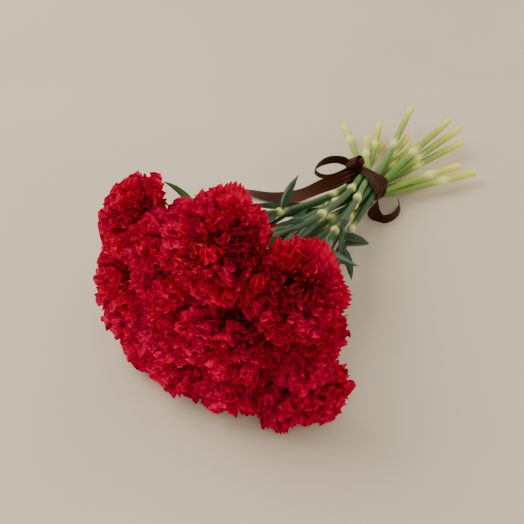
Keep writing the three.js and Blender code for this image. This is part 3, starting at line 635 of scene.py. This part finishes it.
body = add(tree, "BsdfPrincipled",
           {"Roughness": 0.6, "IOR": 1.4, "Sheen Weight": 0.04, "Sheen Roughness": 0.4,
            "Sheen Tint": linear("#FF0018"), "Specular IOR Level": 0.0},
           {"Base Color": red, "Normal": bump.outputs[0]})
add(tree, "OutputMaterial", links={"Surface": body.outputs[0]})

for k, (_, size, _, _) in enumerate(FLOWERS):
    rand = np.random.RandomState(7919 * (k + 1))
    side, over, axis = head_frame(k)
    outward = (cell_points[k] - bunch_middle) / RIM_DISTANCE
    share = (np.arange(PETAL_COUNT) + 0.5) / PETAL_COUNT  # 0 outermost, 1 innermost
    draw = rand.uniform(-1, 1, (12, PETAL_COUNT))  # a row for each thing that varies
    column = (PETAL_COUNT, 1, 1)

    # Each petal's place round the head, its lean at the claw and at the margin, and its size. Those on the
    # outside of the bunch are shorter, and its guard petals stand free there.
    turn = np.arange(PETAL_COUNT) * PETAL_TURN + 0.25 * draw[0] + k
    fan = np.zeros(PETAL_COUNT)
    for i, (place, reach) in enumerate(FANS.get(k, ())):
        turn[i] = math.radians(place)
        fan[i] = reach
    turn, fan = turn.reshape(column), fan.reshape(column)
    guard = np.clip((GUARD_SHARE - share) / GUARD_FADE, 0, 1)
    lean = np.degrees(np.arccos(0.04 + 0.95 * share))
    to = np.radians(lean + 6 * guard - 24 * share**3 + 7 * draw[1])
    start = (np.radians(lean) * (1 - 0.5 * guard) * (0.97 + 0.1 * draw[1])).reshape(column)
    to = to.reshape(column)
    rim = np.clip(np.cos(turn) * (side @ outward) + np.sin(turn) * (over @ outward), 0, 1)
    free = np.where(fan > 0, 1, 0.7 * guard.reshape(column) * rim)
    flat_top = 0.97 - 0.19 * np.sin(np.radians(lean)) ** 2 + 0.1 * np.sin(np.radians(2 * lean)) ** 2
    length = PETAL_REACH * size * (flat_top + 0.07 * draw[2]).reshape(column)
    length = np.where(fan > 0, fan, length * (1.03 - 0.16 * rim + 0.14 * free))
    half = (PETAL_WIDTH / 2 * size * (0.95 - 0.48 * share + 0.1 * draw[3])).reshape(column)
    half = half * (1 + 0.15 * free)

    # How each petal twists, folds at its middle and ruffles, with the number and height of its waves.
    twist = np.radians((10 + 55 * share) * draw[4]).reshape(column)
    fold = ((0.05 + 0.75 * share) * np.abs(draw[5])).reshape(column)
    waves = (3.2 - 1.3 * guard + 1.4 * share**2 + 0.7 * draw[6]).reshape(column)
    big = (3.8 - 1.8 * guard + 0.4 * share + 0.9 * draw[7]).reshape(column) * (1 - 0.4 * free)
    phase = (math.pi * draw[8:11]).reshape(3, *column)

    # The blade, from claw (q near 0) to margin (q 1), and from one side (v -1) to the other (v 1).
    q = np.linspace(0.1, 1, PETAL_ROWS)[None, :, None] ** 0.85
    v = np.linspace(-1, 1, PETAL_COLUMNS)[None, None, :]
    blade = np.clip((q - 0.2) / 0.62, 0, 1)
    width = 0.1 + 0.9 * blade**0.85 * (1.25 - 0.25 * blade)
    ruffle = np.clip((q - 0.38) / 0.62, 0, 1) ** 1.4
    teeth = np.array(TOOTH)[np.arange(PETAL_COLUMNS) % 4] * rand.uniform(
        0.4, 1.0, (PETAL_COUNT, 1, PETAL_COLUMNS))
    run = q * (1 - 0.2 * v**2 * blade) + np.where(q >= 1, (TOOTH_LENGTH + 0.014 * free) * teeth, 0)

    # Its middle line is an arc from one lean to the other, r from the head's axis and h along it. The
    # surface stands off from that arc by the ruffles, the crimped margin, the cup and the fold.
    angle = start + (to - start) * run
    spread = to - start
    spread = np.where(np.abs(spread) < 0.02, 0.02, spread)
    r = 2 + length * (np.cos(start) - np.cos(start + spread * run)) / spread
    h = 1 + length * (np.sin(start + spread * run) - np.sin(start)) / spread
    wave = np.sin(math.pi * waves * v + phase[0]) + 0.45 * np.sin(math.pi * 2.3 * waves * v + phase[1])
    crimp = np.sin(math.pi * CRIMPS * v + phase[2]) * ruffle**2
    off = big * ruffle * wave + CRIMP_HEIGHT * crimp + PETAL_CUP * half * width**2 * v**2
    off = off + fold * half * width * np.abs(v)
    x = half * width * v + 0.5 * big * ruffle * np.sin(2 * math.pi * waves * v + phase[1])
    tau = twist * ruffle**0.5
    off, x = off * np.cos(tau) - x * np.sin(tau), off * np.sin(tau) + x * np.cos(tau)
    r = r - off * np.cos(angle)
    h = h + off * np.sin(angle)
    points = (head_feet[k] + np.array(LOLL.get(k, (0, 0, 0)))
              + side * (r * np.cos(turn) - x * np.sin(turn))[..., None]
              + over * (r * np.sin(turn) + x * np.cos(turn))[..., None] + axis * h[..., None])
    points = pressed(points.reshape(-1, 3), cell_of(k), axis, PETAL_HALF_THICK + CLEARANCE / 2)
    apart = points - head_feet[k]
    too_far = 1 - FARTHEST * PETAL_REACH * size / np.linalg.norm(apart, axis=1)
    points -= apart * np.clip(too_far, 0, 1)[:, None]

    # The tone differs at random. It is lifted on the guard petals and set bright on one petal here and
    # there, as
    # painted glow of light through them. A petal that stands clear is painted darker against the light it
    # catches.
    tone = 0.42 + 0.22 * draw[11] + 0.25 * guard
    tone = np.where(draw[11] > SINGLE_DRAW, SINGLE_PAINTED_GLOW, tone).reshape(column)
    tone = tone * (1 - free) + FULL_LIGHT * free
    marks = np.stack(np.broadcast_arrays(v, q, tone), axis=-1)
    grids = [(*petal, False) for petal in zip(points.reshape(marks.shape), marks)]
    head = make_piece(f"petals_{k + 1:02d}", grids, petal_red)
    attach(head, "root")
    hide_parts(f"bloom_{k + 1:02d}")


# RIBBON
# One length of double-faced satin, 15 mm wide, is wound twice round the stems, the second turn slanting to
# the heads, and tied in a flat knot with one loop. Its two ends are free. The knot's grip pleats it.
RIBBON_WIDTH = 15
RIBBON_THICK = 0.8  # two soft layers
RIBBON_CROWN = 0.35  # rise of its middle over its edges
RIBBON_COLUMNS = 13  # points across a free stretch
WRAP_EASE = 1.1  # between the outermost stems and the ribbon
WRAP_GRIP = 0.3  # how much of that the drawn knot takes up
WRAP_COLUMNS = 96
WRAP_ROWS = 25
WRAP_PLEATS = 7  # half waves across its width
STRIP_PLEATS = 3  # half waves from the middle of a free stretch to its edge
TURNS = ((0, 0, 0), (4, 12, 1.3))  # shift toward the heads at the knot, more of it far from the knot, rise
KNOT_SIZE = (8.5, 7.0, 5.0)  # half sizes: along the wrap, along the stems, outward
KNOT_AHEAD = 4  # the knot sits between the two turns
KNOT_TURN = math.radians(128)  # round the stems, from +X toward the top
KNOT_ROWS = 26
KNOT_COLUMNS = 44
KNOT_SECTIONS = (-0.17, 0.17)  # those that the knot sits on, as shares of the ribbon's width
BAND_REACH = (8.8, 6.2)  # of the band over the knot: along the stems and outward
# That band's rows, as (turn over the knot from its crest, width).
KNOT_BAND = ((-2.3, 9), (-1.5, 10.5), (-0.7, 11.5), (0, 12), (0.8, 12), (1.5, 11.5), (2, 10.5), (2.5, 9))
# Each row of these: place from the knot, or from where the right end leaves the wrap, direction across the
# ribbon, and the width that it is drawn to.
LOOP = [
    ((-2.8, -6.4, -1.4), (-0.3, 0.1, 0.9), 10),
    ((-9.4, -6.4, 0.8), (-0.1, -0.1, 1), 12),
    ((-18.4, -8, 1.3), (0.1, -0.3, 0.95), 13),
    ((-28, -12.2, -1.6), (0.2, -0.3, 0.95), 14),
    ((-34.5, -15.8, -7.2), (0.3, -0.35, 0.9), 14),
    ((-36, -18.8, -12), (0.3, -0.4, 0.9), 14),
    ((-31.2, -19.3, -15.2), (0.2, -0.45, 0.87), 13),
    ((-20.9, -16.1, -15), (0.2, -0.45, 0.87), 12),
    ((-11.7, -11.1, -11), (0.1, -0.3, 0.9), 11),
    ((-4.6, -6.5, -6.3), (-0.1, 0, 0.9), 9),
]
LEFT_END = [
    ((6.5, -6.8, -4.5), (-0.4, 0.4, 0.8), 10),
    ((-1.9, -15.8, -6.9), (-0.3, 0.5, 0.8), 12.5),
    ((-9.8, -20.8, -12.2), (-0.3, 0.5, 0.8), 14),
    ((-23.7, -26.6, -20.7), (-0.2, 0.6, 0.8), 15),
    ((-46, -36, -36), (-0.1, 0.8, 0.5), 15),
    ((-73, -42, -43.6), (0, 0.97, 0), 15),
    ((-94, -47, -42.1), (0, 0.9, -0.42), 14),
    ((-112, -53, -42.1), (0, 0.9, -0.42), 14),
]
RIGHT_END = [
    ((0.6, 2.5, 6.1), (-0.05, 0.97, -0.2), 14),
    ((0, 0, 0), (-0.15, 0.97, -0.2), 14),
    ((-1.5, -1.1, -3.3), (-0.13, 0.97, -0.18), 14),
    ((-2.7, -2.2, -8.5), (0.2, 0.95, -0.1), 14),
    ((-3, -2, -14.5), (0.5, 0.8, 0.3), 13.5),
    ((-1.6, -0.3, -20.2), (0.45, 0.5, 0.7), 13),
    ((2, 1.4, -23), (0.2, 0.1, 1), 12.5),
    ((7.7, 2.1, -24), (-0.1, -0.2, 0.97), 12),
    ((12.7, 10.5, -24), (-0.1, -0.3, 0.95), 12),
    ((12.8, 23.6, -24), (-0.1, -0.25, 0.95), 12),
    ((7, 33.4, -24), (-0.1, -0.2, 0.97), 12),
]


def section_of_stems(distance):
    """Middle of the tied section there, each stem's place round it, and its reach across the section."""
    places, reaches = [], []
    for k in range(len(FLOWERS)):
        there = crossing(k, distance)
        pair = at_length(centre_lines[k], stem_lengths[k], there + np.array([-1, 0, 1]))
        places.append(pair[1])
        reaches.append(STEM_RADIUS / abs(unit(pair[2] - pair[0]) @ bundle_axis))
    middle = np.mean(places, axis=0)
    flat = [complex((p - middle) @ bundle_side, (p - middle) @ bundle_over) for p in places]
    return middle, np.array(flat), np.array(reaches)


def support(flat, reaches, turn):
    """How far the ribbon lies from the section's middle in a direction, for its outermost stem there."""
    return np.max((flat * np.exp(-1j * turn)).real + reaches) + WRAP_EASE


def out_at(turn):
    """The way out of the bundle at a turn round it."""
    return bundle_side * math.cos(turn) + bundle_over * math.sin(turn)


# The taut ribbon lies on the outermost stems and runs straight between them, section by section.
around = np.arange(WRAP_COLUMNS) / WRAP_COLUMNS * 2 * math.pi
outward_round = np.array([out_at(t) for t in around])
facing = np.cos(around[:, None] - around[None])
section_places = np.linspace(-8, 26, 18)  # from the tie toward the heads
section_middles, section_reaches = [], []
for place in section_places:
    middle, flat, reaches = section_of_stems(place)
    farthest = np.array([support(flat, reaches, t) for t in around]) - WRAP_GRIP
    straight = np.where(facing > 0.2, farthest[None] / np.where(facing > 0.2, facing, 1), np.inf)
    section_middles.append(middle)
    section_reaches.append(np.min(straight, axis=1))
section_middles, section_reaches = np.array(section_middles), np.array(section_reaches)

wraps = []
from_knot = np.sin((around - KNOT_TURN) / 2)  # 0 at the knot, 1 or -1 on the far side
grip = 0.14 + 0.3 * np.exp(-(2.2 * from_knot) ** 2)  # height of the pleats
for ahead, slant, rise in TURNS:
    wrap = []
    for row in np.linspace(-0.5, 0.5, WRAP_ROWS):
        place = row * RIBBON_WIDTH + ahead + slant * np.abs(from_knot)
        middle = at_length(section_middles, section_places, place)
        taut = np.array([
            np.interp(at, section_places, section_reaches[:, i]) for i, at in enumerate(place)])
        pleats = np.sin(WRAP_PLEATS * math.pi * row + 3 * np.sin(around + 2 * rise)) * grip
        crown = RIBBON_CROWN * (1 - (2 * row) ** 2) + pleats
        wrap.append(middle + outward_round * (taut + crown + rise)[:, None])
    wraps.append(np.array(wrap))

# The knot: a flattened barrel of folds, with one pleated band drawn over it the way the stems run.
(behind, flat, reaches), (before, _, _) = (section_of_stems(row * RIBBON_WIDTH) for row in KNOT_SECTIONS)
out = out_at(KNOT_TURN)
knot_far = support(flat, reaches, KNOT_TURN) + RIBBON_THICK + KNOT_SIZE[2] + 2 * CLEARANCE
knot_at = (behind + before) / 2 + out * knot_far
along_wrap = np.cross(bundle_axis, out)
knot_middle = knot_at + bundle_axis * KNOT_AHEAD
barrel = []
for lean in np.linspace(0.001, math.pi - 0.001, KNOT_ROWS):
    for turn in np.linspace(0, 2 * math.pi, KNOT_COLUMNS, endpoint=False):
        pinch = 1 + 0.07 * math.sin(5 * lean + 2 * math.sin(turn)) - 0.1 * abs(math.cos(turn)) ** 6
        sx = math.cos(lean)
        sy = math.sin(lean) ** 0.5 * math.cos(turn)
        sz = math.sin(lean) ** 0.5 * math.sin(turn) * 0.8
        sink = 0.35 if sz < 0 else 0.0  # its underside fills the room down to the wrap
        barrel.append(knot_middle + along_wrap * sx * KNOT_SIZE[0] * 0.98
                      + bundle_axis * sy * KNOT_SIZE[1] * pinch + out * sz * KNOT_SIZE[2] * (pinch + sink))
barrel = np.array(barrel).reshape(KNOT_ROWS, KNOT_COLUMNS, 3)
knot_band = []
for t, width in KNOT_BAND:
    over_knot = bundle_axis * BAND_REACH[0] * math.sin(t) + out * BAND_REACH[1] * math.cos(t)
    knot_band.append((over_knot, along_wrap + bundle_axis * 0.12 * t, width))


def satin_strip(rows, start, steps):
    """Points across and along a length of ribbon, pleated where it is drawn narrower than it is."""
    path = curve_through([np.array(at) + start for at, _, _ in rows], steps)
    across = curve_through([unit(np.array(a, float)) for _, a, _ in rows], steps)
    across /= np.linalg.norm(across, axis=1)[:, None]
    width = np.interp(np.linspace(0, len(rows) - 1, steps), np.arange(len(rows)), [w for _, _, w in rows])
    along = np.gradient(path, axis=0)
    along /= np.linalg.norm(along, axis=1)[:, None]
    up = np.cross(along, across)
    t = np.linspace(-1, 1, RIBBON_COLUMNS)
    pleat = (RIBBON_WIDTH - width)[:, None] * 0.16 * np.sin(STRIP_PLEATS * math.pi * t)[None]
    crown = RIBBON_CROWN * (1 - t**2)[None]
    return (path[:, None] + across[:, None] * (width[:, None] / 2 * t)[..., None]
            + up[:, None] * (pleat + crown)[..., None])


# Polyester satin: long floats of fine brown thread lie along the ribbon, so it shines in bands across its
# bends and shows copper where the light strikes. Real threads are 0.1 mm wide. The ribs here are 0.5 mm, so
# that they show.
RIBS_PER_HALF = 15
satin, tree = new_material("brown_polyester_satin")
marks, parts = read_marks(tree)
threads = fine_lines(tree, parts, 2 * math.pi * RIBS_PER_HALF)
blotch = add(tree, "Mapping", {"Scale": (5, 0.12, 1)}, {"Vector": marks.outputs["Vector"]})
blotch = add(tree, "TexNoise", {"Scale": 1, "Detail": 3}, {"Vector": blotch.outputs[0]})
brown = add(tree, "ValToRGB", links={0: blotch.outputs["Fac"]}, ramp=[(0.3, "#160904"), (0.7, "#3A190C")])
edge = add(tree, "Math", {"operation": "ABSOLUTE"}, {0: parts.outputs["X"]})
edge = add(tree, "MapRange", {"From Min": 0.88, "From Max": 0.96, "To Min": 0.0, "To Max": 0.6},
           {"Value": edge.outputs[0]})
brown = add(tree, "Mix", {"data_type": "RGBA", 7: linear("#24110A")},
            {0: edge.outputs[0], 6: brown.outputs[0]})
bump = add(tree, "Bump", {"Strength": 0.12, "Distance": 0.0002}, {"Height": threads.outputs[0]})
body = add(tree, "BsdfPrincipled",
           {"Roughness": 0.38, "Metallic": 0.25, "Sheen Weight": 0.08, "Sheen Roughness": 0.3,
            "Sheen Tint": linear("#B4683C"), "Specular IOR Level": 0.22,
            "Specular Tint": linear("#FFBE96")},
           {"Base Color": brown.outputs[2], "Normal": bump.outputs[0]})
add(tree, "OutputMaterial", links={"Surface": body.outputs[0]})

end_at = wraps[1][WRAP_ROWS // 2, 0] + outward_round[0] * RIBBON_THICK
strips = [*wraps, barrel, satin_strip(knot_band, knot_middle, 60), satin_strip(LOOP, knot_at, 90),
          satin_strip(LEFT_END, knot_at, 60), satin_strip(RIGHT_END, end_at, 90)]
grids = []
for number, strip in enumerate(strips):
    rows, columns = strip.shape[:2]
    closed = number <= len(wraps)  # the turns and the knot's barrel
    along = lengths_along(strip[:, columns // 2])
    marks = np.zeros(strip.shape)
    marks[..., 0] = np.linspace(-1, 1, columns)
    marks[..., 1] = along[:, None]
    if number < len(wraps):  # the ribbon runs round the stems here
        marks[..., 0] = np.linspace(-1, 1, rows)[:, None]
        marks[..., 1] = lengths_along(np.vstack([strip[rows // 2], strip[rows // 2, :1]]))[:-1]
    marks[..., 2] = number
    grids.append((strip, marks, closed))
ribbon = make_piece("satin_ribbon", grids, satin)
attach(ribbon, "root")
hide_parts("ribbon_wrap", "ribbon_knot", "ribbon_loop", "ribbon_end_left", "ribbon_end_right")


# TABLE AND LIGHT
# The bunch lies on a sheet of plain pale beige paper. Daylight comes from a large window high on the left
# and a little in front of the bunch, and the room fills the shadows.
SHEET_HALF = 3  # in metres, as is all of this section
SHEET_TOP = -0.0005

# Paper: matt and even, with a faint mottle about 300 mm across.
beige_paper, tree = new_material("matt_beige_paper")
place = add(tree, "TexCoord")
mottle = add(tree, "TexNoise", {"Scale": 3, "Detail": 3}, {"Vector": place.outputs["Object"]})
beige = add(tree, "ValToRGB", links={0: mottle.outputs["Fac"]}, ramp=[(0.3, "#C9BAA2"), (0.7, "#D0C2AB")])
body = add(tree, "BsdfPrincipled", {"Roughness": 0.8}, {"Base Color": beige.outputs[0]})
add(tree, "OutputMaterial", links={"Surface": body.outputs[0]})
mesh = bpy.data.meshes.new("table")
corners = [(x * SHEET_HALF, y * SHEET_HALF, SHEET_TOP) for x, y in ((-1, -1), (1, -1), (1, 1), (-1, 1))]
mesh.from_pydata(corners, [], [(0, 1, 2, 3)])
mesh.materials.append(beige_paper)
table = bpy.data.objects.new("table", mesh)
bpy.context.scene.collection.objects.link(table)

room = bpy.data.worlds.new("room")
bpy.context.scene.world = room
room.use_nodes = True
room.node_tree.nodes["Background"].inputs["Color"].default_value = linear("#F4EDE2")
room.node_tree.nodes["Background"].inputs["Strength"].default_value = 1.1


def window(name, at, toward, size, power, shade):
    """A soft rectangular light that faces a point."""
    lamp = bpy.data.lights.new(name, "AREA")
    lamp.shape = "RECTANGLE"
    lamp.size, lamp.size_y = size
    lamp.energy = power
    lamp.color = linear(shade)[:3]
    made = bpy.data.objects.new(name, lamp)
    made.location = at
    made.rotation_mode = "QUATERNION"
    made.rotation_quaternion = (Vector(toward) - Vector(at)).to_track_quat("-Z", "Y")
    bpy.context.scene.collection.objects.link(made)


window("window_light", (-1.35, -0.45, 2.0), (0, -0.05, 0.05), (1.8, 1.8), 46, "#FFFAF4")
window("room_fill", (0.7, -1.6, 1.7), (0, -0.05, 0.05), (1.8, 1.4), 12, "#FFFFFF")


# CAMERA
# The photograph looks down on the heads from the front and right, through a lens of about 72 mm.
CAMERA_TURN = math.radians(31)
CAMERA_RISE = math.radians(43)
CAMERA_DISTANCE = 0.9
CAMERA_AIM = (0.0, -0.060, 0.050)  # in metres, before the bunch's box is put over the origin
PHOTO_WIDTH = 524  # in pixels
FOCAL_LENGTH = 1050  # in the photograph's pixels
SENSOR_WIDTH = 36
target = Vector(CAMERA_AIM) - Vector((ORIGIN * 0.001).tolist())
level = math.cos(CAMERA_RISE)
back = Vector((math.sin(CAMERA_TURN) * level, -math.cos(CAMERA_TURN) * level, math.sin(CAMERA_RISE)))
lens = bpy.data.cameras.new("camera")
lens.sensor_width = SENSOR_WIDTH
lens.lens = FOCAL_LENGTH / PHOTO_WIDTH * SENSOR_WIDTH
camera = bpy.data.objects.new("camera", lens)
camera.location = target + back * CAMERA_DISTANCE
camera.rotation_mode = "QUATERNION"
camera.rotation_quaternion = (-back).to_track_quat("-Z", "Y")
bpy.context.scene.collection.objects.link(camera)
bpy.context.scene.camera = camera
